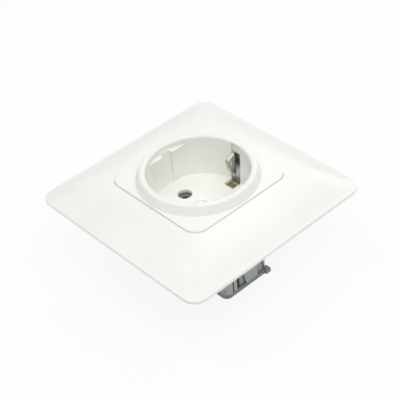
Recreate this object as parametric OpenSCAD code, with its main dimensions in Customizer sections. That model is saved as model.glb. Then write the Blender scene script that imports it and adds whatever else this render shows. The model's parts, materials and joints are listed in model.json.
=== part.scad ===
// Type F wall socket for one flush box: pillow-shaped cover frame, centre plate with a raised
// collar and a round plug recess, steel mounting plate and a grey base with screwless terminals.
// Millimetres. The origin is the centre of the wall plane, +Z points out of the wall into the
// room, X runs through the two pin holes and +Y is up, through the two earth clips.

/* [Cover frame] */
// Width and height of the square cover frame
frame_w = 90; // [88:0.5:98]
// Corner radius of the frame's outline
frame_r = 6; // [4:0.5:10]
// Height of the frame's upright outer edge
edge_h = 1.3; // [0.8:0.1:2]
// Height of the frame's face beside the centre plate
frame_h = 8.3; // [7.6:0.1:8.8]
// Wall thickness of the frame moulding
frame_t = 1.8; // [1.2:0.1:2.2]

/* [Centre plate] */
// Width of the centre plate's face beside the collar's foot, where it is narrowest
plate_margin = 0.4; // [0.2:0.1:2]
// Corner radius of the centre plate
plate_r = 6; // [4:0.5:9]
// Height of the centre plate's face above the wall
plate_h = 9.1; // [8.9:0.1:10.5]
// Thickness of the centre plate and of its skirt
plate_t = 1.6; // [1.2:0.1:2]
// Clear joint between the centre plate and the frame
plate_gap = 0.2; // [0.15:0.05:0.5]

/* [Collar and plug recess] */
// Height of the collar's rim above the wall
rim_h = 12.9; // [11.5:0.1:14]
// Width of the collar's rounded rim
rim_w = 2.4; // [2.1:0.1:2.9]
// How far the collar's foot stands out beyond its rim
collar_flare = 1.7; // [1:0.1:1.9]
// Diameter of the plug recess at the rim
recess_d = 40.8; // [40:0.1:41.4]
// How far the wall of the plug recess leans in from the rim to the floor
recess_draft = 0.9; // [0.5:0.1:1.2]
// Depth of the plug recess from the rim to the floor
recess_depth = 18.3; // [17.5:0.1:19]
// Wall thickness of the recess cup
cup_t = 1.9; // [1.6:0.1:2.1]
// Thickness of the recess floor
floor_t = 1.5; // [1.2:0.1:2]
// Width of the two guide ribs
rib_w = 4.8; // [4:0.1:6]
// How far the guide ribs stand in from the cup's wall
rib_reach = 0.8; // [0.5:0.1:1.4]
// How far the guide ribs end below the rim
rib_drop = 1.4; // [1.2:0.1:4]

/* [Pin holes] */
// Distance between the two pin holes
pin_pitch = 19; // [18.6:0.1:19.4]
// Diameter of a pin hole in the recess floor
pin_hole_d = 5.8; // [5.6:0.1:6.2]
// Chamfer round each pin hole
pin_chamfer = 0.1; // [0.05:0.05:0.5]

/* [Earth strap] */
// Width of the earth strap
strap_w = 4.8; // [4:0.1:5.2]
// Sheet thickness of the earth strap
strap_t = 0.8; // [0.6:0.05:1]
// How far the nose of an earth clip stands in from its upright leg
nose_reach = 4.6; // [4.2:0.1:5]
// Height of the noses above the recess floor
nose_lift = 11; // [9:0.2:12]
// How far the face of an upright leg lies behind the foot of the recess wall
leg_setback = 0.1; // [0.05:0.05:0.4]
// Height of the clips' tips above the recess floor
tip_lift = 12.8; // [12.4:0.1:13.2]
// Width of the sprung finger of a clip
finger_w = 2; // [1.6:0.1:2.6]
// Height of the upright leg beside a finger above the recess floor
leg_lift = 8.4; // [7.5:0.1:10]

/* [Centre screw] */
// Thread diameter of the centre screw
screw_d = 3.5; // [3:0.5:4]
// Head diameter of the centre screw
screw_head_d = 5.6; // [5.2:0.1:5.8]
// Head height of the centre screw
screw_head_h = 1.6; // [1.2:0.1:2]
// Diameter of the boss that holds the screw's head
boss_d = 7.4; // [7.2:0.1:7.8]
// Thickness of the cap over the screw's head
cap_t = 1; // [0.8:0.1:1.4]
// How far the cap lies below the recess floor
cap_drop = 0.5; // [0.3:0.1:0.8]
// Width of the square nut across its flats
nut_w = 6; // [5.5:0.1:6.5]
// Thickness of the square nut
nut_t = 2.4; // [2:0.1:3]

/* [Mounting plate] */
// Width and height of the steel mounting plate
mount_w = 71; // [70:0.5:76]
// Corner radius of the mounting plate
mount_r = 9; // [6:0.5:12]
// Sheet thickness of the mounting plate
mount_t = 1; // [0.8:0.1:1.4]
// Distance between opposite box screws
box_pitch = 60; // [59.6:0.1:60.6]
// Width of a box screw slot
slot_w = 4.2; // [3.8:0.1:4.6]
// Length of a box screw slot
slot_l = 8; // [6.5:0.5:9.5]
// Width of plate between the round opening and a rivet
rivet_margin = 3; // [2.6:0.1:3.4]
// Shank diameter of the rivets
rivet_d = 2.8; // [2.4:0.1:3.2]

/* [Base] */
// Depth of the whole base behind the wall plane
base_depth = 34.5; // [33:0.5:40]
// Overall width of the base through the pole chambers
base_w = 48; // [47:0.5:50]
// Width of a pole chamber's outer face
pole_face_w = 23; // [22.6:0.2:25]
// Overall height of the base through the earth chamber
base_h = 40; // [39:0.5:43]
// Width of the earth chamber's outer face
earth_face_w = 25; // [24:0.2:27]
// Radius of the base's upright corners
base_r = 2.5; // [1.5:0.1:3]
// Wall thickness of the base
base_t = 1.6; // [1.4:0.1:1.8]
// Thickness of the deck under the recess floor
deck_t = 2; // [1.6:0.1:2.4]
// Thickness of the rear cover
cover_t = 1.9; // [1.5:0.1:2.4]

/* [Terminals] */
// Outer diameter of a contact sleeve
sleeve_d = 6.4; // [6.2:0.1:6.6]
// Bore of a contact sleeve
sleeve_bore = 4.9; // [4.8:0.1:5.2]
// Length of a contact sleeve
sleeve_l = 12; // [9:0.5:14]
// Depth of the flared mouth of a contact sleeve
sleeve_lead = 1.2; // [0.8:0.1:1.6]
// Sheet thickness of the busbars
bar_t = 0.9; // [0.7:0.1:1.1]
// Sheet thickness of the clamp springs
spring_t = 0.5; // [0.4:0.05:0.6]
// Width of a clamp spring
spring_w = 5; // [4:0.2:6]
// Distance between the two wires of one pole
wire_pitch = 8.8; // [8:0.2:9.6]
// Diameter of a wire hole in the rear cover
wire_hole_d = 3.4; // [3:0.1:3.8]

/* [Hidden] */
$fn = 64;
overrun = 0.5;
fit_gap = 0.15;
corner_steps = 9;
floor_z = rim_h - recess_depth;
collar_top_d = recess_d + 2 * rim_w;
collar_foot_d = collar_top_d + 2 * collar_flare;
recess_floor_d = recess_d - 2 * recess_draft;
plate_w = collar_foot_d + 2 * plate_margin;
cup_under = floor_z - floor_t;
cup_r = recess_floor_d / 2 + cup_t;
cup_top_r = recess_d / 2 + cup_t;
deck_under = cup_under - deck_t;
cover_top = cover_t - base_depth;
skirt_foot = 0.73 * frame_h;
open_w = plate_w + 2 * plate_gap;
open_r = plate_r + plate_gap;
ledge_w = 1.6;
ledge_t = 1.2;
rim_round = rim_w / 2;
cap_hole_d = screw_head_d + 2 * fit_gap;
tower_r = cup_top_r + fit_gap;
tower_t = 1.9;
opening_r = tower_r + fit_gap;
rivet_place = (opening_r + rivet_margin + rivet_d / 2) / sqrt(2);
rivet_head_d = 1.8 * rivet_d;
rivet_head_h = 0.35 * rivet_d;
lug_d = 2.6 * rivet_d;
lug_t = 4;
slot_side = strap_w + 2 * fit_gap;
leg_span = recess_floor_d + 2 * (leg_setback + strap_t);
nose_span = leg_span - 2 * nose_reach;
floor_slot = nose_span / 2 - strap_t;
slot_top = floor_z + tip_lift + 3 * fit_gap;
niche_depth = 0.6 * cup_t;
nose_round = 1.2;
finger_root = 3.4;
finger_cut = 0.2;
knee_lift = 5.2;
knee_back = 1.3;
bend_steps = 5;
eye_d = boss_d + 2 * fit_gap;
eye_rim = 1.4;
head_seat = floor_z - cap_drop - cap_t - screw_head_h;
boss_under = head_seat - floor_t;
nut_top = boss_under - floor_t;
nut_under = nut_top - nut_t;
pocket_w = nut_w + 2 * fit_gap;
screw_tip = nut_under - screw_d / 2;
pillar_w = pocket_w + 2 * base_t;
chamber_in = sleeve_d / 2 + 2.2 * fit_gap;
chamber_x0 = pin_pitch / 2 - chamber_in - fit_gap;
chamber_x1 = base_w / 2 - base_t;
chamber_y = pole_face_w / 2 - base_t;
earth_x = earth_face_w / 2 - 2 * base_t;
earth_y1 = base_h / 2 - base_t;
spring_reach = 7.1;
earth_spring_reach = 4.1;
spring_drop_share = 0.78;
earth_spring_drop_share = 0.54;
spring_share = [0.7, 0.83, 0.875];
earth_top = deck_under - 2 * base_t;
bus_gap = 1.2;
bus_x = chamber_x1 - spring_reach - spring_t - bar_t;
bus_w = 2 * (chamber_y - bus_gap);
bus_foot = cover_top + bus_gap;
earth_bar_y = earth_y1 - earth_spring_reach - spring_t - bar_t;
earth_y0 = earth_bar_y - bar_t;
wire_x = bus_x + bar_t + wire_hole_d / 2 + 2 * fit_gap;
earth_wire_y = earth_bar_y + bar_t + wire_hole_d / 2 + fit_gap;
cover_screw_inset = 4.6;
cover_screw_x = earth_face_w / 2 - cover_screw_inset;
cover_screw_y = base_h / 2 - cover_screw_inset;
cover_screw_d = 2.5;
cover_screw_l = 9;
cover_head_d = 4.6;
cover_head_h = 1.3;
window_h = 18;
slit_w = 0.6;
slit_h = 5.6;
slit_y_share = -0.343;
window_y_share = [[-0.243, -0.148], [0.257, 0.296]];
flat_edge_y_share = [-0.074, 0.391];
web_t = 0.8;
web_h = 7.6;
edge_sweep_r = 21;
tab_w = 1.7;
tab_reach = 0.9;
catch_z = cover_top + 2 * tab_w;
catch_h = 2.4;
profile_lift_share = [0, 0.16, 0.34, 0.52, 0.68, 0.81, 0.9, 0.96, 0.99, 1];
lift_steps = len(profile_lift_share) - 1;
border = (frame_w - open_w) / 2;
rise = frame_h - edge_h;
skin_share = 0.9;
outer_line = [
    for (i = [0 : lift_steps])
        [border * i / lift_steps, edge_h + rise * profile_lift_share[i]]
];
inner_line = [
    for (i = [lift_steps - 1 : -1 : 1])
        [frame_t + (border - 2 * frame_t) * i / lift_steps,
         max(mount_t + fit_gap, edge_h + rise * profile_lift_share[i] - skin_share * frame_t)]
];
frame_line = concat(
    [[0, 0]],
    outer_line,
    [[border, skirt_foot], [border + ledge_w, skirt_foot], [border + ledge_w, skirt_foot - ledge_t],
     [border, skirt_foot - ledge_t], [border, mount_t], [border - frame_t, mount_t]],
    inner_line,
    [[frame_t, mount_t + fit_gap], [frame_t, 0]]
);

function unit(v) = v / norm(v);
function wrap(a) = a > 180 ? a - 360 : a < -180 ? a + 360 : a;
function side(a, b) = [-(b - a)[1], (b - a)[0]] / norm(b - a);

// Mitred sideways step at point i of the path p
function mitre(p, i) =
    let (last = len(p) - 1)
    let (n1 = side(p[max(i - 1, 0)], p[max(i, 1)]))
    let (n2 = side(p[min(i, last - 1)], p[min(i + 1, last)]))
    (n1 + n2) / (1 + n1 * n2);

// Points of an arc of radius r that rounds the corner b between a and c
function bend_at(a, b, c, r, steps) =
    let (u = unit(a - b), v = unit(c - b))
    let (half = acos(u * v) / 2)
    let (middle = b + unit(u + v) * r / sin(half))
    let (from = b + u * r / tan(half) - middle, to = b + v * r / tan(half) - middle)
    let (start = atan2(from[1], from[0]))
    let (turn = wrap(atan2(to[1], to[0]) - start))
    [for (i = [0 : steps]) middle + r * [cos(start + turn * i / steps), sin(start + turn * i / steps)]];

// The path p with each inner corner rounded to radius r
function bent(p, r, steps) = concat(
    [p[0]],
    [for (i = [1 : len(p) - 2]) each bend_at(p[i - 1], p[i], p[i + 1], r, steps)],
    [p[len(p) - 1]]
);

// Loop of points round a square with rounded corners
function square_loop(half, r) = [
    for (q = [0 : 3], i = [0 : corner_steps])
        let (turn = 90 * (q + i / corner_steps))
        let (cx = (q == 0 || q == 3) ? half - r : r - half)
        let (cy = q < 2 ? half - r : r - half)
        [cx + r * cos(turn), cy + r * sin(turn)]
];

// Strip of sheet of thickness t that follows a path
module ribbon(p, t) {
    polygon(concat(
        [for (i = [0 : len(p) - 1]) p[i] + mitre(p, i) * t / 2],
        [for (i = [len(p) - 1 : -1 : 0]) p[i] - mitre(p, i) * t / 2]
    ));
}

// Square with rounded corners, as circles and bars
module round_square(w, h, r) {
    square([w - 2 * r, h], center = true);
    square([w, h - 2 * r], center = true);
    for (sx = [-1, 1], sy = [-1, 1]) {
        translate([sx * (w / 2 - r), sy * (h / 2 - r)]) circle(r);
    }
}

// Prism with rounded upright corners from z0 to z1
module round_block(w, h, r, z0, z1) {
    translate([0, 0, z0]) linear_extrude(z1 - z0) round_square(w, h, r);
}

// Box between two corners
module block(low, high) {
    translate(low) cube(high - low);
}

// Frame lofted through square loops, one for each [inset, height] of its cross-section
module cover_frame() {
    rings = len(frame_line);
    loop_n = 4 * (corner_steps + 1);
    points = [
        for (k = frame_line) let (r = frame_r + (open_r - frame_r) * k[0] / border)
            for (p = square_loop(frame_w / 2 - k[0], r)) [p[0], p[1], k[1]]
    ];
    faces = [
        for (j = [0 : rings - 1], i = [0 : loop_n - 1])
            let (a = j * loop_n, b = ((j + 1) % rings) * loop_n, n = (i + 1) % loop_n)
            each [[a + i, b + i, b + n], [a + i, b + n, a + n]]
    ];
    color("whitesmoke") polyhedron(points, faces, convexity = 6);
}

// Half section of the collar, the cup's wall and its floor
module cup_section() {
    inner_top = recess_d / 2;
    polygon(concat(
        [[0, cup_under], [cup_r, cup_under], [cup_top_r, plate_h - plate_t],
         [collar_foot_d / 2, plate_h - plate_t], [collar_foot_d / 2, plate_h]],
        [for (a = [0 : 15 : 180])
            [(collar_top_d + recess_d) / 4 + rim_round * cos(a), rim_h + rim_round * (sin(a) - 1)]],
        [[inner_top - 0.05 * rim_round, rim_h - 2 * rim_round],
         [recess_floor_d / 2, floor_z], [0, floor_z]]
    ));
}

// Half section of the ring from which the two guide ribs are taken, sloped at its top
module rib_section() {
    low = floor_z - floor_t / 2;
    top = rim_h - rib_drop;
    polygon([
        [recess_floor_d / 2 - rib_reach, low], [(recess_floor_d + cup_t) / 2, low],
        [(recess_d + cup_t) / 2, top], [recess_d / 2, top],
        [recess_d / 2 - rib_reach, top - 2 * rib_reach]
    ]);
}

module centre_plate() {
    color("whitesmoke") difference() {
        union() {
            difference() {
                hull() {
                    round_block(plate_w, plate_w, plate_r, skirt_foot, plate_h - plate_t / 2);
                    round_block(plate_w - plate_t / 2, plate_w - plate_t / 2, plate_r - plate_t / 4,
                        plate_h - plate_t / 2, plate_h);
                }
                round_block(plate_w - 2 * plate_t, plate_w - 2 * plate_t, plate_r - plate_t,
                    skirt_foot - overrun, plate_h - plate_t);
                translate([0, 0, skirt_foot]) cylinder(h = plate_h, d = recess_d + cup_t);
            }
            rotate_extrude() cup_section();
            intersection() {
                block([-cup_top_r, -rib_w / 2, cup_under], [cup_top_r, rib_w / 2, rim_h]);
                rotate_extrude() rib_section();
            }
            translate([0, 0, boss_under]) cylinder(h = floor_z - floor_t / 2 - boss_under, d = boss_d);
        }
        for (s = [-1, 1]) {
            translate([s * pin_pitch / 2, 0, cup_under - overrun])
                cylinder(h = floor_t + 2 * overrun, d = pin_hole_d);
            translate([s * pin_pitch / 2, 0, floor_z - pin_chamfer])
                cylinder(h = pin_chamfer, d1 = pin_hole_d, d2 = pin_hole_d + 2 * pin_chamfer);
            earth_slot(s);
        }
        translate([0, 0, head_seat]) cylinder(h = floor_z - head_seat + overrun, d = cap_hole_d);
        translate([0, 0, boss_under - overrun])
            cylinder(h = floor_t + 2 * overrun, d = screw_d + 2 * fit_gap);
    }
}

// Cut for one earth clip: floor slot, opening in the wall and the shallow niche above it
module earth_slot(s) {
    deep = cup_top_r + overrun;
    low = cup_under - overrun;
    mirror([0, s < 0 ? 1 : 0, 0]) {
        block([-slot_side / 2, floor_slot, low], [slot_side / 2, deep, slot_top]);
        block([-slot_side / 2, floor_slot, slot_top - overrun],
            [slot_side / 2, recess_floor_d / 2 + niche_depth, rim_h - rim_round]);
    }
}

module screw_cap() {
    color("whitesmoke") translate([0, 0, head_seat + screw_head_h])
        cylinder(h = cap_t, d = cap_hole_d - fit_gap);
}

module centre_screw() {
    color("silver") difference() {
        union() {
            translate([0, 0, head_seat]) cylinder(h = screw_head_h, d = screw_head_d);
            translate([0, 0, screw_tip]) cylinder(h = head_seat - screw_tip, d = screw_d);
        }
        block([-screw_head_d / 2 - overrun, -screw_head_h / 4, head_seat + screw_head_h / 2],
            [screw_head_d / 2 + overrun, screw_head_h / 4, head_seat + screw_head_h + overrun]);
    }
}

module screw_nut() {
    color("silver") difference() {
        block([-nut_w / 2, -nut_w / 2, nut_under], [nut_w / 2, nut_w / 2, nut_top]);
        translate([0, 0, nut_under - overrun]) cylinder(h = nut_t + 2 * overrun, d = screw_d);
    }
}

// Slot with round ends that runs along X
module screw_slot() {
    square([slot_l - slot_w, slot_w], center = true);
    for (s = [-1, 1]) translate([s * (slot_l - slot_w) / 2, 0]) circle(d = slot_w);
}

module mounting_plate() {
    color("lightgrey") difference() {
        round_block(mount_w, mount_w, mount_r, 0, mount_t);
        translate([0, 0, -overrun]) cylinder(h = mount_t + 2 * overrun, r = opening_r);
        for (place = [[-1, 0], [1, 0], [0, -1], [0, 1]])
            translate([place[0] * box_pitch / 2, place[1] * box_pitch / 2, -overrun])
                linear_extrude(mount_t + 2 * overrun) screw_slot();
        for (sx = [-1, 1], sy = [-1, 1])
            translate([sx * rivet_place, sy * rivet_place, -overrun])
                cylinder(h = mount_t + 2 * overrun, d = rivet_d);
    }
}

// Plan of the base: two pole chambers and the earth chamber between them
module base_plan(grow) {
    round_square(base_w + 2 * grow, pole_face_w + 2 * grow, base_r);
    round_square(earth_face_w + 2 * grow, base_h + 2 * grow, base_r);
}

// Web recessed beside a flat face whose edge sweeps away towards the rear cover
module web_cut(left, edge) {
    translate([base_w / 2 - web_t, 0, cover_top]) rotate([90, 0, 90])
        linear_extrude(web_t + overrun) difference() {
            translate([left, -overrun]) square([edge + 2 * web_t - left, web_h + overrun]);
            translate([edge + edge_sweep_r, web_h]) circle(edge_sweep_r);
        }
}

// The pattern of slit, windows and recessed webs on one pole chamber's outer face
module pole_face_cuts() {
    inside = chamber_x1 - overrun;
    outside = base_w / 2 + overrun;
    slit_y = slit_y_share * pole_face_w;
    block([inside, slit_y, cover_top - overrun], [outside, slit_y + slit_w, cover_top + slit_h]);
    for (i = [0, 1]) {
        reach = window_y_share[i] * pole_face_w;
        block([inside, reach[0], cover_top - overrun], [outside, reach[1], cover_top + window_h]);
        web_cut(reach[1] - slit_w, flat_edge_y_share[i] * pole_face_w);
    }
}

module contact_base() {
    color("darkgray") difference() {
        union() {
            translate([0, 0, cover_top]) linear_extrude(cup_under - cover_top) base_plan(0);
            translate([0, 0, deck_under]) cylinder(h = -deck_under, r = tower_r + tower_t);
            for (sx = [-1, 1], sy = [-1, 1])
                translate([sx * rivet_place, sy * rivet_place, -lug_t]) cylinder(h = lug_t, d = lug_d);
            block([base_w / 2 - 2 * tab_w, -pole_face_w / 2 - tab_w, catch_z],
                [base_w / 2 - tab_w / 2, -chamber_y, catch_z + catch_h]);
        }
        translate([0, 0, cup_under]) cylinder(h = -cup_under + overrun, r = tower_r);
        for (sx = [-1, 1], sy = [-1, 1])
            translate([sx * rivet_place, sy * rivet_place, -lug_t - overrun])
                cylinder(h = lug_t + 2 * overrun, d = rivet_d);
        for (turn = [0, 180]) rotate(turn) {
            block([chamber_x0, -chamber_y, cover_top - overrun], [chamber_x1, chamber_y, deck_under]);
            translate([pin_pitch / 2, 0, deck_under - overrun])
                cylinder(h = deck_t + 2 * overrun, d = sleeve_d + 2 * fit_gap);
            pole_face_cuts();
        }
        block([-earth_x, -earth_y1, cover_top - overrun], [earth_x, -earth_y0, earth_top]);
        block([-strap_w / 2 - fit_gap, -earth_bar_y - bar_t - fit_gap, earth_top - overrun],
            [strap_w / 2 + fit_gap, -earth_bar_y + fit_gap, cup_under + overrun]);
        translate([0, 0, cup_under - strap_t]) linear_extrude(strap_t + overrun) {
            circle(d = eye_d + 2 * eye_rim + 2 * fit_gap);
            square([strap_w + 2 * fit_gap, leg_span + 2 * fit_gap], center = true);
        }
        translate([0, 0, boss_under - fit_gap]) cylinder(h = -boss_under, d = boss_d + 2 * fit_gap);
        translate([0, 0, screw_tip - overrun]) cylinder(h = -screw_tip, d = screw_d + 2 * fit_gap);
        block([-pocket_w / 2, -pocket_w / 2, nut_under], [pocket_w / 2, base_h, nut_top]);
        for (s = [-1, 1]) translate([s * cover_screw_x, cover_screw_y, cover_top - overrun])
            cylinder(h = cover_screw_l + overrun, d = cover_screw_d);
    }
}

module rear_cover() {
    color("darkgray") difference() {
        union() {
            translate([0, 0, -base_depth]) linear_extrude(cover_t) base_plan(0);
            for (turn = [0, 180]) rotate(turn)
                block([base_w / 2 - tab_w, pole_face_w / 2 - tab_w, -base_depth],
                    [base_w / 2 + tab_reach, pole_face_w / 2 + tab_reach, cover_top]);
        }
        for (turn = [0, 180], s = [-1, 1]) rotate(turn) {
            translate([wire_x, s * wire_pitch / 2, -base_depth - overrun])
                cylinder(h = cover_t + 2 * overrun, d = wire_hole_d);
            block([wire_x + wire_hole_d / 2 + tab_reach, s * wire_pitch / 2 - wire_hole_d / 2,
                -base_depth - overrun], [chamber_x1 - fit_gap, s * wire_pitch / 2 + wire_hole_d / 2,
                cover_top + overrun]);
        }
        for (s = [-1, 1]) {
            translate([s * wire_pitch / 2, -earth_wire_y, -base_depth - overrun])
                cylinder(h = cover_t + 2 * overrun, d = wire_hole_d);
            translate([s * cover_screw_x, cover_screw_y, -base_depth - overrun])
                cylinder(h = cover_t + 2 * overrun, d = cover_screw_d);
            translate([s * cover_screw_x, cover_screw_y, -base_depth - overrun])
                cylinder(h = cover_head_h + overrun, d = cover_head_d + 2 * fit_gap);
        }
    }
}

// Sheet extruded along X to width w, from its side view as [distance up from the centre, height]
module strap_sheet(path, w) {
    rotate([90, 0, 90]) linear_extrude(w) ribbon(bent(path, nose_round, bend_steps), strap_t);
}

// One half of the strap: bar, upright leg and the narrow finger sprung out of the leg
module strap_half() {
    leg = (leg_span - strap_t) / 2;
    nose = nose_span / 2 + strap_t;
    bar_z = cup_under - strap_t / 2;
    root = [leg, floor_z + finger_root - nose_round];
    translate([-strap_w / 2, 0, 0]) {
        strap_sheet([[(eye_d + eye_rim) / 2, bar_z], [leg, bar_z], root], strap_w);
        strap_sheet([root - [0, overrun], [leg, floor_z + finger_root],
            [nose + knee_back, floor_z + knee_lift], [nose, floor_z + nose_lift],
            [leg, floor_z + tip_lift]], finger_w);
    }
    block([finger_w + finger_cut - strap_w / 2, leg - strap_t / 2, root[1] - overrun],
        [strap_w / 2, leg + strap_t / 2, floor_z + leg_lift]);
}

module earth_strap() {
    color("tan") {
        difference() {
            translate([0, 0, cup_under - strap_t])
                cylinder(h = strap_t, d = eye_d + 2 * eye_rim);
            translate([0, 0, cup_under - strap_t - overrun])
                cylinder(h = strap_t + 2 * overrun, d = eye_d);
        }
        for (turn = [0, 180]) rotate(turn) strap_half();
    }
}

module earth_terminal() {
    color("goldenrod") {
        block([-strap_w / 2, -earth_bar_y - bar_t, earth_top - overrun],
            [strap_w / 2, -earth_bar_y, cup_under - strap_t]);
        block([-earth_x + bar_t, -earth_bar_y - bar_t, bus_foot],
            [earth_x - bar_t, -earth_bar_y, earth_top]);
    }
}

module pole_contact() {
    color("goldenrod") difference() {
        union() {
            translate([pin_pitch / 2, 0, cup_under - sleeve_l - strap_t])
                cylinder(h = sleeve_l, d = sleeve_d);
            block([chamber_x0 + fit_gap, -sleeve_d / 2, deck_under - bar_t],
                [bus_x + overrun, sleeve_d / 2, deck_under]);
            block([bus_x, -bus_w / 2, bus_foot], [bus_x + bar_t, bus_w / 2, deck_under]);
        }
        translate([pin_pitch / 2, 0, cup_under - sleeve_l - strap_t - overrun])
            cylinder(h = sleeve_l + 2 * overrun, d = sleeve_bore);
        translate([pin_pitch / 2, 0, cup_under - strap_t - sleeve_lead])
            cylinder(h = sleeve_lead, d1 = sleeve_bore, d2 = sleeve_d - 2 * fit_gap);
        block([0, -spring_t, cup_under - sleeve_l - strap_t - overrun],
            [pin_pitch / 2, spring_t, deck_under - bar_t - overrun]);
    }
}

// Loop spring of a screwless terminal: it stands against the wall at x = back and hangs by drop
module clamp_spring(back, reach, top, drop) {
    near = back - spring_t / 2;
    far = back - reach;
    path = bent([[near, top - spring_share[1] * drop], [near, top],
        [back - spring_share[0] * reach, top], [far, top - spring_share[2] * drop],
        [far + spring_t, top - drop]], spring_t * 2, bend_steps);
    color("lightsteelblue") rotate([90, 0, 0])
        translate([0, 0, -spring_w / 2]) linear_extrude(spring_w) ribbon(path, spring_t);
}

module pole_spring(turn, s) {
    top = deck_under - bar_t;
    rotate(turn) translate([0, s * wire_pitch / 2, 0])
        clamp_spring(chamber_x1, spring_reach, top, spring_drop_share * (top - bus_foot));
}

module earth_spring(s) {
    top = earth_top - bar_t;
    rotate(-90) translate([0, s * wire_pitch / 2, 0])
        clamp_spring(earth_y1, earth_spring_reach, top, earth_spring_drop_share * (top - bus_foot));
}

module rivet(sx, sy) {
    color("silver") translate([sx * rivet_place, sy * rivet_place, 0]) {
        translate([0, 0, mount_t]) cylinder(h = rivet_head_h, d = rivet_head_d);
        translate([0, 0, -lug_t]) cylinder(h = lug_t + mount_t, d = rivet_d);
        translate([0, 0, -lug_t - rivet_head_h]) cylinder(h = rivet_head_h, d = rivet_head_d);
    }
}

module cover_screw(s) {
    color("silver") translate([s * cover_screw_x, cover_screw_y, -base_depth]) difference() {
        union() {
            cylinder(h = cover_head_h, d = cover_head_d);
            cylinder(h = cover_t + cover_screw_l - cover_head_h, d = cover_screw_d);
        }
        block([-cover_head_d / 2 - overrun, -cover_head_h / 4, -overrun],
            [cover_head_d / 2 + overrun, cover_head_h / 4, cover_head_h / 2]);
    }
}

cover_frame();
centre_plate();
screw_cap();
centre_screw();
screw_nut();
mounting_plate();
contact_base();
rear_cover();
earth_strap();
earth_terminal();
pole_contact();  // line_contact
rotate(180) pole_contact();  // neutral_contact
pole_spring(0, 1);  // line_clamp_spring_upper
pole_spring(0, -1);  // line_clamp_spring_lower
pole_spring(180, -1);  // neutral_clamp_spring_upper
pole_spring(180, 1);  // neutral_clamp_spring_lower
earth_spring(-1);  // earth_clamp_spring_left
earth_spring(1);  // earth_clamp_spring_right
rivet(-1, 1);  // rivet_top_left
rivet(1, 1);  // rivet_top_right
rivet(-1, -1);  // rivet_bottom_left
rivet(1, -1);  // rivet_bottom_right
cover_screw(-1);  // cover_screw_left
cover_screw(1);  // cover_screw_right
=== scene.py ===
"""Looks of the type F wall socket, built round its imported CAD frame."""

import json
import math

import bmesh
import bpy
from mathutils import Matrix, Vector


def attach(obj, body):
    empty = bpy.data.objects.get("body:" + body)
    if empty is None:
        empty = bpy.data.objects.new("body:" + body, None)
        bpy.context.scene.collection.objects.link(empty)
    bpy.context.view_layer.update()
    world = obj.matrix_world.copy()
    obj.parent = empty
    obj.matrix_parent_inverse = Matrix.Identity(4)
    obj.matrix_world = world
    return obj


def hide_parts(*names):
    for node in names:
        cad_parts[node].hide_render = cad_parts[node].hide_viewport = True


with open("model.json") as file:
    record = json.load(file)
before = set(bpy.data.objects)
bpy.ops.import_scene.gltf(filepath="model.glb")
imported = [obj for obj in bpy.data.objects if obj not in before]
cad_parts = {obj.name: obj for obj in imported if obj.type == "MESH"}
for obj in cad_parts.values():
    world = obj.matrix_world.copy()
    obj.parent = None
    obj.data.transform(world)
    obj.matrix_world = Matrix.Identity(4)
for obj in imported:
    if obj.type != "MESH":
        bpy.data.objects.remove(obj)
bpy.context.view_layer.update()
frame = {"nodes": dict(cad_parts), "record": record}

# ---- sizes ----
# All in millimetres, and MM turns them into metres. The sizes of the forms repeat the CAD
# source's values, apart from four: PLATE_GAP narrows the groove, NICHE_SHARE and NICHE_DROP
# enlarge the niches, and RIM_ROUND sharpens the rim, each as in the photograph. The source has
# no solid for the FLAT sizes, and the other roundings are the scene's own.

MM = 0.001

# Cover frame: width, corner radius, height of its edge and of its inner rim, wall thickness, and
# the share of the rise from edge to rim that it has reached at even steps inwards. Then the
# steps of its top and underside, and how thick it is there as a share of the wall thickness.
FRAME_W, FRAME_R, EDGE_H, FRAME_H, FRAME_T = 90, 6, 1.3, 8.3, 1.8
PROFILE_LIFT = [0, 0.16, 0.34, 0.52, 0.68, 0.81, 0.9, 0.96, 0.99, 1]
CROWN_STEPS, UNDER_STEPS, CROWN_SHARE = 44, 12, 0.9

# Inside the frame: top of the mounting plate, foot of the skirts, ledge under the centre plate.
MOUNT_T, SKIRT_FOOT, LEDGE_W, LEDGE_T = 1, 6.06, 1.6, 1.2

# Centre plate: width, corner radius, height, thickness, and its gap to the frame.
PLATE_W, PLATE_R, PLATE_H, PLATE_T, PLATE_GAP = 49.8, 6, 9.1, 1.6, 0.08

# Collar and recess: the collar's height and radii, then radii, floor and wall of the cup.
RIM_H, COLLAR_FOOT_R, COLLAR_TOP_R = 12.9, 24.5, 22.8
RECESS_R, FLOOR_R, FLOOR_Z, FLOOR_T, CUP_T = 20.4, 19.5, -5.4, 1.5, 1.9

# Guide ribs, and the flat side walls beside them: distance from the middle at the ledge, how
# much farther out they are below the floor, and the drop from the rim to the ledge.
RIB_W, RIB_REACH, RIB_DROP = 4.8, 0.8, 1.4
FLAT_X, FLAT_LEAN, FLAT_DROP, FLAT_STEPS = 17.9, 0.5, 2.8, 12

# Pin holes.
PIN_X, PIN_R, PIN_CHAMFER = 9.5, 2.9, 0.1

# Screw boss: shank and head of the screw, the cap over it, and the boss's own radius.
SCREW_R, HEAD_R, HEAD_H, CAP_T, CAP_DROP, BOSS_R = 1.75, 2.8, 1.6, 1, 0.5, 3.7
SEAT_CHAMFER = 0.2

# Earth strap: NOSE_Y and LEG_Y are measured from the middle, the lifts from the recess floor.
STRAP_W, STRAP_T, NOSE_Y, NOSE_LIFT, LEG_Y, TIP_LIFT = 4.8, 0.8, 15.8, 11, 20.4, 12.8
LEG_LIFT, FINGER_ROOT, FINGER_W, FINGER_CUT, EYE_R = 8.4, 3.4, 2, 0.2, 5.25
KNEE_BACK, KNEE_LIFT, BEND_R, BAR_START, SHEET_ROUND = 1.3, 5.2, 1.2, 4.5, 0.16

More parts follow.
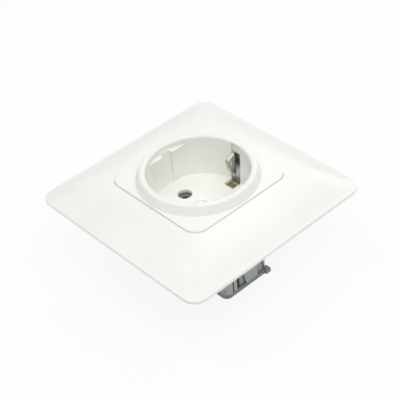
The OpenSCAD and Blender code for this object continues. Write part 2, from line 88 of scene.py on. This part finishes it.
# Slots for the strap and the niches above them: inner end, share of the cup's wall that a niche
# takes, and drop from the rim to its top.
SLOT_Y, NICHE_SHARE, NICHE_DROP = 15, 0.85, 0.6

# Clearance between pieces, overlap of joined forms, and the offset that keeps the faces of two
# joined sheets out of one plane.
FIT, OVERLAP, SPLIT = 0.15, 0.05, 0.01

# How far a cutting tool stands out of the body it cuts, how deep a form starts inside the one
# it joins, and the length at which an edge counts as none.
BEYOND, SINK, NO_LENGTH = 1, 0.5, 0.0002

# Radii of rounded edges: the frame's foot, outer edge and inner rim; the plate's edge, the
# collar's foot and top, and the recess floor; edges left by the plate's cuts; and the base.
FOOT_ROUND, EDGE_ROUND, INNER_ROUND = 0.15, 0.35, 0.08
PLATE_ROUND, COLLAR_ROUND, RIM_ROUND, FLOOR_ROUND = 0.3, 0.03, 1.15, 0.3
CUT_ROUND, BASE_ROUND = 0.1, 0.2

# Least angles in degrees of an edge that stays sharp, and of one that the base's rounding takes.
SHARP_ANGLE, BASE_ANGLE = 35, 40

# Undersides of the recess floor, of the screw boss and of the plate, and the screw head's seat.
CUP_UNDER = FLOOR_Z - FLOOR_T
HEAD_SEAT = FLOOR_Z - CAP_DROP - CAP_T - HEAD_H
BOSS_UNDER = HEAD_SEAT - FLOOR_T
PLATE_UNDER = PLATE_H - PLATE_T

# The ground that the socket stands on, and the radius of the paper laid out there.
STAND_Z, PAPER_R = -34.5, 1500


# ---- outlines ----

def rounded(corners, steps):
    """Line through (x, y) corners; one given as (x, y, r) becomes an arc of radius r."""
    line = []
    for i, corner in enumerate(corners):
        here = Vector(corner[:2])
        if len(corner) == 2:
            line.append(here)
            continue
        u = (Vector(corners[i - 1][:2]) - here).normalized()
        v = (Vector(corners[(i + 1) % len(corners)][:2]) - here).normalized()
        half = u.angle(v) / 2
        centre = here + (u + v).normalized() * corner[2] / math.sin(half)
        start = here + u * corner[2] / math.tan(half) - centre
        end = here + v * corner[2] / math.tan(half) - centre
        turn = start.angle_signed(end)
        for k in range(steps + 1):
            line.append(centre + Matrix.Rotation(-turn * k / steps, 2) @ start)
    return line


def rounded_box(centre, half, r):
    """Outline of a rectangle with rounded corners, half[0] and half[1] being its half sides."""
    return rounded([(centre[0] + sx * half[0], centre[1] + sy * half[1], r)
                    for sx, sy in ((1, 1), (-1, 1), (-1, -1), (1, -1))], steps=4)


def smooth_value(values, t):
    """Value at t, from 0 to 1, on a smooth curve through evenly spaced values."""
    last = len(values) - 1
    i = min(int(t * last), last - 1)
    f = t * last - i
    a, b, c, d = (values[min(max(i + k, 0), last)] for k in (-1, 0, 1, 2))
    return b + f * (c - a + f * (2 * a - 5 * b + 4 * c - d + f * (3 * (b - c) + d - a))) / 2


def square_ring(half, r, side_steps=28, corner_steps=12):
    """Points round a square with rounded corners."""
    ring = []
    for q in range(4):
        turn = Matrix.Rotation(math.pi / 2 * q, 2)
        for k in range(side_steps):
            ring.append(turn @ Vector((half, (half - r) * (2 * k / side_steps - 1))))
        for k in range(corner_steps):
            a = math.pi / 2 * k / corner_steps
            ring.append(turn @ Vector((half - r + r * math.cos(a), half - r + r * math.sin(a))))
    return ring


def circle_ring(r, like):
    """Points round a circle, in the directions of another ring's points."""
    return [p.normalized() * r for p in like]


def directions(count):
    """Unit vectors at even steps round a circle."""
    return [Vector((math.cos(a), math.sin(a))) for a in
            (2 * math.pi * k / count for k in range(count))]


def at_height(ring, z):
    """3-D points of a flat ring at one height."""
    return [(p[0], p[1], z) for p in ring]


# ---- meshes ----

def new_piece(name, verts, faces, surface):
    """Object of one mesh, given in millimetres."""
    mesh = bpy.data.meshes.new(name)
    mesh.from_pydata([Vector(v) * MM for v in verts], [], faces)
    bm = bmesh.new()
    bm.from_mesh(mesh)
    bmesh.ops.recalc_face_normals(bm, faces=bm.faces)
    bm.to_mesh(mesh)
    bm.free()
    mesh.materials.append(surface)
    piece = bpy.data.objects.new(name, mesh)
    bpy.context.scene.collection.objects.link(piece)
    return piece


def loft(name, rings, surface, closed=False):
    """Skin over rings of 3-D points, joined end to end if closed or else capped."""
    n = len(rings[0])
    faces = []
    for j in range(len(rings) if closed else len(rings) - 1):
        a, b = j * n, (j + 1) % len(rings) * n
        faces += [(a + i, a + (i + 1) % n, b + (i + 1) % n, b + i) for i in range(n)]
    if not closed:
        faces += [tuple(range(n)), tuple(range((len(rings) - 1) * n, len(rings) * n))]
    return new_piece(name, [p for ring in rings for p in ring], faces, surface)


def turned(name, profile, surface, centre=(0, 0), segments=64):
    """Solid of revolution about an upright axis, from its (radius, height) profile."""
    rings = [[(centre[0] + r * p.x, centre[1] + r * p.y, z) for p in directions(segments)]
             for r, z in profile]
    return loft(name, rings, surface)


def bar(name, low, high, surface):
    """Box between its low and its high corner, with its upright edges just broken."""
    centre = [(low[k] + high[k]) / 2 for k in (0, 1)]
    half = [(high[k] - low[k]) / 2 for k in (0, 1)]
    plan = rounded_box(centre, half, r=0.01)
    return loft(name, [at_height(plan, low[2]), at_height(plan, high[2])], surface)


def apply_modifiers(piece):
    """Turns the piece's modifiers into its mesh."""
    seen = piece.evaluated_get(bpy.context.evaluated_depsgraph_get())
    mesh = bpy.data.meshes.new_from_object(seen)
    mesh.validate()
    piece.modifiers.clear()
    piece.data = mesh


def combine(piece, tool, operation):
    """Adds a tool to the piece or cuts it away, and removes the tool."""
    step = piece.modifiers.new("step", "BOOLEAN")
    step.object, step.operation, step.solver = tool, operation, "EXACT"
    apply_modifiers(piece)
    bpy.data.objects.remove(tool)


def round_edges(piece, width, angle):
    """Modifier that rounds the edges sharper than angle degrees by width millimetres."""
    edges = piece.modifiers.new("edges", "BEVEL")
    edges.width, edges.segments = width * MM, 2
    edges.limit_method, edges.angle_limit = "ANGLE", math.radians(angle)
    return edges


def merge_close_points(piece):
    """Removes the edges of next to no length that combining leaves behind."""
    bm = bmesh.new()
    bm.from_mesh(piece.data)
    bmesh.ops.dissolve_degenerate(bm, edges=bm.edges, dist=NO_LENGTH * MM)
    bm.to_mesh(piece.data)
    bm.free()


def finish_edges(piece, width=0):
    """Rounds sharp edges by width millimetres and shades the rest smooth."""
    if width:
        round_edges(piece, width, SHARP_ANGLE)
        apply_modifiers(piece)
    merge_close_points(piece)
    piece.data.shade_smooth()
    piece.data.set_sharp_from_angle(angle=math.radians(SHARP_ANGLE))
    normals = piece.modifiers.new("normals", "WEIGHTED_NORMAL")
    normals.keep_sharp = True


# ---- materials ----

# Features per metre in the noises for drifts of tone, for the polish of plastic, for the rolling
# marks of metal and for the ragged borders of the strap's painted shade and reflection bands, and
# the noise values between which a socket is varied.
PLASTIC_TONE, METAL_TONE, PAPER_TONE, POLISH, MARKS, BORDERS = 45, 220, 30, 160, 900, 700
NOISE_LOW, NOISE_HIGH = 0.35, 0.65

# Skin grain of plastics and of rolled metal: features per metre, strength, depth in millimetres.
SMOOTH_SKIN, COARSE_SKIN = (1500, 0.04, 0.02), (5200, 0.45, 0.03)
MARKS_STRENGTH, MARKS_DEPTH = 0.25, 0.02

# How far the borders of the strap's painted shade and reflection bands wander, as a share of the
# coloured height.
BORDER_WANDER = 0.3

# The strap's colours by height in millimetres, with light and shade painted in: dark below the
# finger's knee as painted shade, bright on the slope above it as a painted reflection, and
# yellowish at the nose and at the bar under the floor.
STRAP_PAINTED_TONES = [(-8, (0.52, 0.47, 0.35)), (-3, (0.3, 0.275, 0.2)), (-1.6, (0.35, 0.34, 0.29)),
               (-0.4, (0.5, 0.53, 0.52)), (3.5, (0.55, 0.59, 0.59)), (5.2, (0.44, 0.42, 0.35)),
               (8, (0.46, 0.45, 0.37))]


def main_shader(tree):
    """Shader of a material's node tree."""
    return tree.nodes["Principled BSDF"]


def new_surface(name, **values):
    """New material with uniform values set on its shader, and its node tree."""
    made = bpy.data.materials.new(name)
    made.use_nodes = True
    for socket, value in values.items():
        main_shader(made.node_tree).inputs[socket].default_value = value
    return made, made.node_tree


def noise(tree, scale, detail, stretch=(1, 1, 1)):
    """Noise in object space with features about 1/scale metres wide."""
    place = tree.nodes.new("ShaderNodeTexCoord")
    mapping = tree.nodes.new("ShaderNodeMapping")
    mapping.inputs["Scale"].default_value = stretch
    texture = tree.nodes.new("ShaderNodeTexNoise")
    texture.inputs["Scale"].default_value = scale
    texture.inputs["Detail"].default_value = detail
    tree.links.new(place.outputs["Object"], mapping.inputs["Vector"])
    tree.links.new(mapping.outputs["Vector"], texture.inputs["Vector"])
    return texture.outputs["Fac"]


def colour_ramp(tree, source, stops):
    """Colour that follows a value, from (value, colour) stops."""
    ramp = tree.nodes.new("ShaderNodeValToRGB")
    elements = ramp.color_ramp.elements
    while len(elements) < len(stops):
        elements.new(0.5)
    for element, (value, colour) in zip(elements, stops):
        element.position = value
        element.color = (*colour, 1)
    tree.links.new(source, ramp.inputs["Fac"])
    return ramp.outputs["Color"]


def vary(tree, source, socket, low, high):
    """Drives a value or colour socket of the shader between low and high by a texture."""
    stops = [(at, value if isinstance(value, tuple) else (value, value, value))
             for at, value in ((NOISE_LOW, low), (NOISE_HIGH, high))]
    tree.links.new(colour_ramp(tree, source, stops), main_shader(tree).inputs[socket])


def bump(tree, source, strength, depth):
    """Surface relief from a texture, depth in millimetres."""
    relief = tree.nodes.new("ShaderNodeBump")
    relief.inputs["Strength"].default_value = strength
    relief.inputs["Distance"].default_value = depth * MM
    tree.links.new(source, relief.inputs["Height"])
    tree.links.new(relief.outputs["Normal"], main_shader(tree).inputs["Normal"])


def plastic(name, dark, light, rough, skin):
    """Moulded plastic with faint tone drift, uneven polish and a fine skin texture."""
    made, tree = new_surface(name)
    vary(tree, noise(tree, PLASTIC_TONE, detail=2), "Base Color", dark, light)
    vary(tree, noise(tree, POLISH, detail=4), "Roughness", *rough)
    grain, strength, depth = skin
    bump(tree, noise(tree, grain, detail=4), strength, depth)
    return made


def paint_crevice_shade(surface, reach):
    """Paints shade into a surface's colour where it is enclosed within reach millimetres, so
    crevices and recesses come out darker.
    """
    tree = surface.node_tree
    colour = main_shader(tree).inputs["Base Color"]
    shade = tree.nodes.new("ShaderNodeAmbientOcclusion")
    shade.inputs["Distance"].default_value = reach * MM
    tree.links.new(colour.links[0].from_socket, shade.inputs["Color"])
    tree.links.new(shade.outputs["Color"], colour)


def rolled_metal(name, rough, stretch):
    """Sheet metal with rolling marks that run along one direction, and its node tree."""
    made, tree = new_surface(name, Metallic=1.0)
    marks = noise(tree, MARKS, detail=5, stretch=stretch)
    vary(tree, marks, "Roughness", *rough)
    bump(tree, marks, MARKS_STRENGTH, MARKS_DEPTH)
    return made, tree


def clean_metal(name, dark, light, rough, stretch):
    """Rolled metal with a faint tone drift."""
    made, tree = rolled_metal(name, rough, stretch)
    vary(tree, noise(tree, METAL_TONE, detail=3), "Base Color", dark, light)
    return made


def metal_painted_by_height(name, tones, rough, stretch):
    """Rolled metal with colours by height, with ragged borders between them; on the strap these
    paint shade and reflection.
    """
    made, tree = rolled_metal(name, rough, stretch)
    low, high = tones[0][0] * MM, tones[-1][0] * MM
    place = tree.nodes.new("ShaderNodeTexCoord")
    split = tree.nodes.new("ShaderNodeSeparateXYZ")
    height = tree.nodes.new("ShaderNodeMapRange")
    ragged = tree.nodes.new("ShaderNodeMath")
    height.inputs["From Min"].default_value = low
    height.inputs["From Max"].default_value = high
    height.clamp = False
    ragged.operation, ragged.inputs[1].default_value = "MULTIPLY_ADD", BORDER_WANDER
    tree.links.new(place.outputs["Object"], split.inputs["Vector"])
    tree.links.new(split.outputs["Z"], height.inputs["Value"])
    tree.links.new(noise(tree, BORDERS, detail=4), ragged.inputs[0])
    tree.links.new(height.outputs["Result"], ragged.inputs[2])
    stops = [((z * MM - low) / (high - low), colour) for z, colour in tones]
    tree.links.new(colour_ramp(tree, ragged.outputs["Value"], stops),
                   main_shader(tree).inputs["Base Color"])
    return made


cover_plastic = plastic("white_moulding", (0.9, 0.905, 0.862), (0.925, 0.93, 0.888),
                        (0.2, 0.27), SMOOTH_SKIN)
base_plastic = plastic("grey_moulding", (0.48, 0.5, 0.485), (0.56, 0.575, 0.56),
                       (0.42, 0.56), COARSE_SKIN)
back_plastic = plastic("dark_grey_moulding", (0.25, 0.3, 0.285), (0.3, 0.35, 0.335),
                       (0.42, 0.56), COARSE_SKIN)
# The grey base's colour gets painted shade in its windows, slits and other recesses.
paint_crevice_shade(base_plastic, reach=3)
# The strap's height colours are painted shade below the knee and a painted reflection on the slope
# above it.
strap_nickel = metal_painted_by_height("nickel_sheet", STRAP_PAINTED_TONES, (0.4, 0.52), (7, 1, 1))
SURFACES = {
    "cover_plastic": cover_plastic,
    "base_plastic": base_plastic,
    "strap_nickel": strap_nickel,
    "plate_steel": clean_metal("zinc_sheet", (0.52, 0.53, 0.55), (0.62, 0.63, 0.65),
                               (0.28, 0.42), (1, 9, 1)),
    "zinc_steel": clean_metal("bright_zinc", (0.56, 0.57, 0.58), (0.68, 0.69, 0.7),
                              (0.22, 0.36), (1, 1, 1)),
    "contact_brass": clean_metal("tinned_brass", (0.42, 0.42, 0.4), (0.56, 0.55, 0.52),
                                 (0.24, 0.38), (1, 1, 7)),
    "spring_steel": clean_metal("stainless", (0.5, 0.52, 0.55), (0.62, 0.64, 0.67),
                                (0.2, 0.32), (1, 7, 1)),
}


# ---- cover frame ----

def crown_height(t):
    """Height of the frame's top at t, from 0 at its edge to 1 at its inner rim."""
    return EDGE_H + (FRAME_H - EDGE_H) * smooth_value(PROFILE_LIFT, t)


def frame_section(border):
    """Closed cross-section of a frame border as (inset from the outline, height)."""
    crown = [(border * k / CROWN_STEPS, crown_height(k / CROWN_STEPS))
             for k in range(2, CROWN_STEPS)]
    under = [(FRAME_T + (border - 2 * FRAME_T) * k / UNDER_STEPS,
              crown_height(k / UNDER_STEPS) - CROWN_SHARE * FRAME_T)
             for k in range(UNDER_STEPS - 1, 0, -1)]
    return rounded(
        [(0, 0, FOOT_ROUND), (0, EDGE_H, EDGE_ROUND), *crown, (border, FRAME_H, INNER_ROUND),
         (border, SKIRT_FOOT), (border + LEDGE_W, SKIRT_FOOT),
         (border + LEDGE_W, SKIRT_FOOT - LEDGE_T), (border, SKIRT_FOOT - LEDGE_T),
         (border, MOUNT_T), (border - FRAME_T, MOUNT_T), *under, (FRAME_T, 0)], steps=5)


def make_cover_frame():
    """Pillow-shaped square frame, its section swept round from outline to opening."""
    border = (FRAME_W - (PLATE_W + 2 * PLATE_GAP)) / 2
    open_r = PLATE_R + PLATE_GAP
    rings = [at_height(square_ring(FRAME_W / 2 - inset,
                                   FRAME_R + (open_r - FRAME_R) * inset / border,
                                   side_steps=4, corner_steps=20), z)
             for inset, z in frame_section(border)]
    piece = loft("cover_frame_moulding", rings, cover_plastic, closed=True)
    finish_edges(piece)
    return piece


# ---- centre plate ----

def plate_body():
    """Plate with skirt, collar, recess cup and screw boss, still without cuts and ribs."""
    half, middle, floor_flat, edge_flat, corner_share = PLATE_W / 2, 0.5, 8, 0.34, 0.8
    outline = square_ring(half, PLATE_R)

    def square_level(inset, z):
        return at_height(square_ring(half - inset, PLATE_R - inset * corner_share), z)

    def circle_level(r, z):
        return at_height(circle_ring(r, outline), z)

    edge = rounded([(0, SKIRT_FOOT), (0, PLATE_H, PLATE_ROUND), (edge_flat, PLATE_H)], steps=5)[1:]
    collar = rounded([
        (COLLAR_FOOT_R + OVERLAP, PLATE_H), (COLLAR_FOOT_R, PLATE_H, COLLAR_ROUND),
        (COLLAR_TOP_R, RIM_H, RIM_ROUND), (RECESS_R, RIM_H, RIM_ROUND),
        (FLOOR_R, FLOOR_Z, FLOOR_ROUND), (floor_flat, FLOOR_Z)], steps=9)
    rings = [circle_level(middle, BOSS_UNDER), circle_level(BOSS_R, BOSS_UNDER),
             circle_level(BOSS_R, CUP_UNDER), circle_level(FLOOR_R + CUP_T, CUP_UNDER),
             circle_level(RECESS_R + CUP_T, PLATE_UNDER), square_level(PLATE_T, PLATE_UNDER),
             square_level(PLATE_T, SKIRT_FOOT), square_level(0, SKIRT_FOOT)]
    rings += [square_level(inset, z) for inset, z in edge]
    rings += [circle_level(r, z) for r, z in collar]
    return loft("centre_plate_moulding", rings, cover_plastic)


def guide_rib(side):
    """Upright rib on the recess wall, with a sloped top."""
    foot, top, root = CUP_UNDER + 0.4, RIM_H - RIB_DROP, 1
    outline = [(FLOOR_R - RIB_REACH, foot), (FLOOR_R + root, foot),
               (RECESS_R + root, top), (RECESS_R, top),
               (RECESS_R - RIB_REACH, top - 2 * RIB_REACH)]
    return loft("rib", [[(side * u, y, z) for u, z in outline] for y in (-RIB_W / 2, RIB_W / 2)],
                cover_plastic)


def shoulder(side, end):
    """Flat side wall of the recess beside a guide rib, with its ledge below the rim."""
    rib_edge = RIB_W / 2 - OVERLAP

    def level(x, r, z):
        first, last = math.acos(x / r), math.asin(rib_edge / r)
        arc = [first + (last - first) * k / FLAT_STEPS for k in range(FLAT_STEPS + 1)]
        line = [(x, rib_edge)] + [(r * math.cos(a), r * math.sin(a)) for a in arc]
        return [(side * u, end * v, z) for u, v in line]

    foot = level(FLAT_X + FLAT_LEAN, FLOOR_R + CUP_T / 2, FLOOR_Z - SINK)
    ledge = level(FLAT_X, RECESS_R + CUP_T / 2, RIM_H - FLAT_DROP)
    return loft("shoulder", [foot, ledge], cover_plastic)


def pin_hole(side):
    """Tool for one pin hole with its chamfer."""
    profile = [(PIN_R, CUP_UNDER - BEYOND), (PIN_R, FLOOR_Z - PIN_CHAMFER),
               (PIN_R + PIN_CHAMFER, FLOOR_Z), (PIN_R + PIN_CHAMFER, FLOOR_Z + BEYOND)]
    return turned("hole", profile, cover_plastic, (side * PIN_X, 0), segments=96)


def strap_cuts(side):
    """Tools for one upright leg of the strap: the slot it stands in and the niche above it."""
    slot_x, niche_foot = STRAP_W / 2 + FIT, FLOOR_Z + TIP_LIFT
    tools = []
    for name, reach, foot, top in (
            ("slot", RECESS_R + CUP_T + BEYOND / 2, CUP_UNDER - BEYOND, niche_foot + 3 * FIT),
            ("niche", FLOOR_R + NICHE_SHARE * CUP_T, niche_foot, RIM_H - NICHE_DROP)):
        low, high = sorted((side * SLOT_Y, side * reach))
        tools.append(bar(name, (-slot_x, low, foot), (slot_x, high, top), cover_plastic))
    return tools


def screw_cuts():
    """Tools for the seat of the screw's head and for the bore below it."""
    r = HEAD_R + FIT
    seat = [(r, HEAD_SEAT), (r, FLOOR_Z + OVERLAP - SEAT_CHAMFER),
            (r + SEAT_CHAMFER, FLOOR_Z + OVERLAP), (r + SEAT_CHAMFER, FLOOR_Z + BEYOND)]
    bore = [(SCREW_R + FIT, BOSS_UNDER - BEYOND), (SCREW_R + FIT, FLOOR_Z)]
    return [turned("seat", seat, cover_plastic), turned("bore", bore, cover_plastic)]


def make_centre_plate():
    """Centre plate with its ribs, flat side walls, pin holes, strap slots and screw seat."""
    piece = plate_body()
    for side in (-1, 1):
        for form in (guide_rib(side), shoulder(side, -1), shoulder(side, 1)):
            combine(piece, form, "UNION")
    for tool in [pin_hole(-1), *strap_cuts(-1), pin_hole(1), *strap_cuts(1), *screw_cuts()]:
        combine(piece, tool, "DIFFERENCE")
    finish_edges(piece, CUT_ROUND)
    return piece


def make_screw_cap():
    """Flat round cap over the head of the centre screw."""
    top, middle, foot_round, top_round = FLOOR_Z - CAP_DROP, 0.4, 0.1, 0.25
    r = HEAD_R + FIT / 2
    profile = rounded([(middle, top - CAP_T), (r, top - CAP_T, foot_round),
                       (r, top, top_round), (middle, top)], steps=4)
    piece = turned("screw_cap_disc", profile, cover_plastic, segments=72)
    finish_edges(piece)
    return piece


# ---- earth strap ----

def make_sheet(line, low, high, side):
    """Strip of the strap's sheet from x = low to high that follows a line of (y, z) points."""
    middle = (low + high) / 2
    section = rounded_box((0, 0), ((high - low) / 2, STRAP_T / 2), SHEET_ROUND)
    rings = []
    for i, p in enumerate(line):
        along = (line[min(i + 1, len(line) - 1)] - line[max(i - 1, 0)]).normalized()
        out = Vector((-along.y, along.x))
        rings.append([(side * (middle + q.x), side * (p.x + out.x * q.y), p.y + out.y * q.y)
                      for q in section])
    return loft("strap_sheet", rings, strap_nickel)


def make_strap_half(side):
    """Sheets of one half: bar and leg at full width, then the leg's stub beside the finger."""
    edge, leg, nose = STRAP_W / 2, LEG_Y - STRAP_T / 2, NOSE_Y + STRAP_T
    bar_z, leg_top = CUP_UNDER - STRAP_T / 2, FLOOR_Z + FINGER_ROOT - BEND_R
    root = leg_top - SINK
    foot = rounded([(BAR_START, bar_z), (leg + SPLIT, bar_z, BEND_R), (leg + SPLIT, leg_top)],
                   steps=9)
    stub = [Vector((leg, root)), Vector((leg, FLOOR_Z + LEG_LIFT))]
    finger = rounded([(leg, root), (leg, FLOOR_Z + FINGER_ROOT, BEND_R),
                      (nose + KNEE_BACK, FLOOR_Z + KNEE_LIFT, BEND_R),
                      (nose, FLOOR_Z + NOSE_LIFT, BEND_R), (leg, FLOOR_Z + TIP_LIFT)], steps=9)
    return [make_sheet(foot, -edge - SPLIT, edge + SPLIT, side),
            make_sheet(stub, FINGER_W + FINGER_CUT - edge, edge, side),
            make_sheet(finger, -edge, FINGER_W - edge, side)]


def make_earth_strap():
    """Strap of one folded sheet, with an eye round the screw boss and a clip at both ends."""
    ring = [(EYE_R, CUP_UNDER - STRAP_T + SPLIT), (EYE_R, CUP_UNDER - SPLIT)]
    eye = [(BOSS_R + FIT, CUP_UNDER - 2 * BEYOND), (BOSS_R + FIT, CUP_UNDER + BEYOND)]
    piece = turned("earth_strap_folded", ring, strap_nickel, segments=72)
    for side in (-1, 1):
        for sheet in make_strap_half(side):
            combine(piece, sheet, "UNION")
    combine(piece, turned("eye", eye, strap_nickel, segments=72), "DIFFERENCE")
    finish_edges(piece)
    return piece


# ---- pieces on the frame ----

replacements = {
    "cover_frame": make_cover_frame(),
    "centre_plate": make_centre_plate(),
    "screw_cap": make_screw_cap(),
    "earth_strap": make_earth_strap(),
}
slot_of = {part["node"]: part["material_slot"] for part in frame["record"]["subparts"]}
for node, piece in replacements.items():
    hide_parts(node)
    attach(piece, "root")

for node, part in frame["nodes"].items():
    if node in replacements:
        continue
    part.data.materials.clear()
    part.data.materials.append(back_plastic if node == "rear_cover" else SURFACES[slot_of[node]])
    if node in ("contact_base", "rear_cover"):
        round_edges(part, BASE_ROUND, BASE_ANGLE).harden_normals = True


# ---- studio ----

# Share of the paper's own glow where it is seen directly, and the surroundings' light.
FLOOR_GLOW, WORLD_LIGHT = 0.88, 0.3

# Square lamps that face the origin: name, place and side in metres, power in watts.
LAMPS = [("key", (0.498, 0.044, 0.866), 0.6, 2.62),
         ("front", (0.383, -0.321, 0.866), 0.5, 2.15),
         ("left", (-0.321, -0.383, 0.866), 0.7, 2.4),
         ("back", (-0.134, 0.754, 0.643), 0.9, 2.58)]


def direct_view(tree):
    """1 for rays straight from the camera or by way of metal or glass, 0 for light on surfaces."""
    path = tree.nodes.new("ShaderNodeLightPath")
    total = path.outputs["Is Camera Ray"]
    for ray in ("Is Glossy Ray", "Is Transmission Ray"):
        either = tree.nodes.new("ShaderNodeMath")
        either.operation, either.use_clamp = "ADD", True
        tree.links.new(total, either.inputs[0])
        tree.links.new(path.outputs[ray], either.inputs[1])
        total = either.outputs["Value"]
    return total


def mix_shaders(tree, share, first, second, end):
    """Mixes two shaders by share and leads the mix to the tree's end node."""
    mix = tree.nodes.new("ShaderNodeMixShader")
    tree.links.new(share, mix.inputs["Fac"])
    tree.links.new(first, mix.inputs[1])
    tree.links.new(second, mix.inputs[2])
    tree.links.new(mix.outputs["Shader"], tree.nodes[end].inputs["Surface"])


def floor_surface():
    """White paper that glows softly, so that only a faint shadow is left on it."""
    made, tree = new_surface("studio_floor", Roughness=0.9)
    vary(tree, noise(tree, PAPER_TONE, detail=2), "Base Color",
         (0.93, 0.93, 0.93), (0.94, 0.94, 0.94))
    share = tree.nodes.new("ShaderNodeMath")
    share.operation, share.inputs[1].default_value = "MULTIPLY", FLOOR_GLOW
    tree.links.new(direct_view(tree), share.inputs[0])
    glow = tree.nodes.new("ShaderNodeEmission")
    mix_shaders(tree, share.outputs["Value"], main_shader(tree).outputs["BSDF"],
                glow.outputs["Emission"], "Material Output")
    return made


def make_floor():
    """Round sheet of white paper under the socket."""
    ring = [p * PAPER_R for p in directions(96)]
    mesh = new_piece("studio_floor", at_height(ring, STAND_Z), [tuple(range(len(ring)))],
                     floor_surface())


def make_world():
    """Even white surroundings, pure white where the camera sees them directly."""
    world = bpy.data.worlds.new("studio")
    bpy.context.scene.world = world
    world.use_nodes = True
    tree = world.node_tree
    lit, seen = tree.nodes["Background"], tree.nodes.new("ShaderNodeBackground")
    lit.inputs["Color"].default_value = (1, 1, 1, 1)
    lit.inputs["Strength"].default_value = WORLD_LIGHT
    seen.inputs["Color"].default_value = (1, 1, 1, 1)
    mix_shaders(tree, direct_view(tree), lit.outputs["Background"],
                seen.outputs["Background"], "World Output")


def area_light(name, place, side, power):
    """Soft square lamp that faces the origin."""
    data = bpy.data.lights.new(name, "AREA")
    data.shape, data.size, data.energy = "SQUARE", side, power
    lamp = bpy.data.objects.new(name, data)
    lamp.location = place
    lamp.rotation_euler = (-Vector(place)).to_track_quat("-Z", "Y").to_euler()
    bpy.context.scene.collection.objects.link(lamp)


def make_camera(azimuth, elevation, distance, roll, lens, shift):
    """Camera round the origin, as in the photograph; angles in degrees, distance in millimetres."""
    a, e, r = (math.radians(v) for v in (azimuth, elevation, roll))
    back = Vector((math.sin(a) * math.cos(e), -math.cos(a) * math.cos(e), math.sin(e)))
    right = Vector((math.cos(a), math.sin(a), 0))
    up = back.cross(right)
    across = math.cos(r) * right + math.sin(r) * up
    upward = back.cross(across)
    data = bpy.data.cameras.new("camera")
    data.lens = lens
    data.shift_x, data.shift_y = shift
    data.clip_start, data.clip_end = 0.02, 20
    camera = bpy.data.objects.new("camera", data)
    camera.matrix_world = Matrix.Translation(back * distance * MM) @ Matrix(
        (across, upward, back)).transposed().to_4x4()
    bpy.context.scene.collection.objects.link(camera)
    bpy.context.scene.camera = camera


make_floor()
make_world()
make_camera(azimuth=50.08, elevation=39.21, distance=438.7, roll=-5.34, lens=100.8,
            shift=(-0.0004, -0.0161))
for lamp in LAMPS:
    area_light(*lamp)
bpy.context.scene.view_settings.view_transform = "Standard"
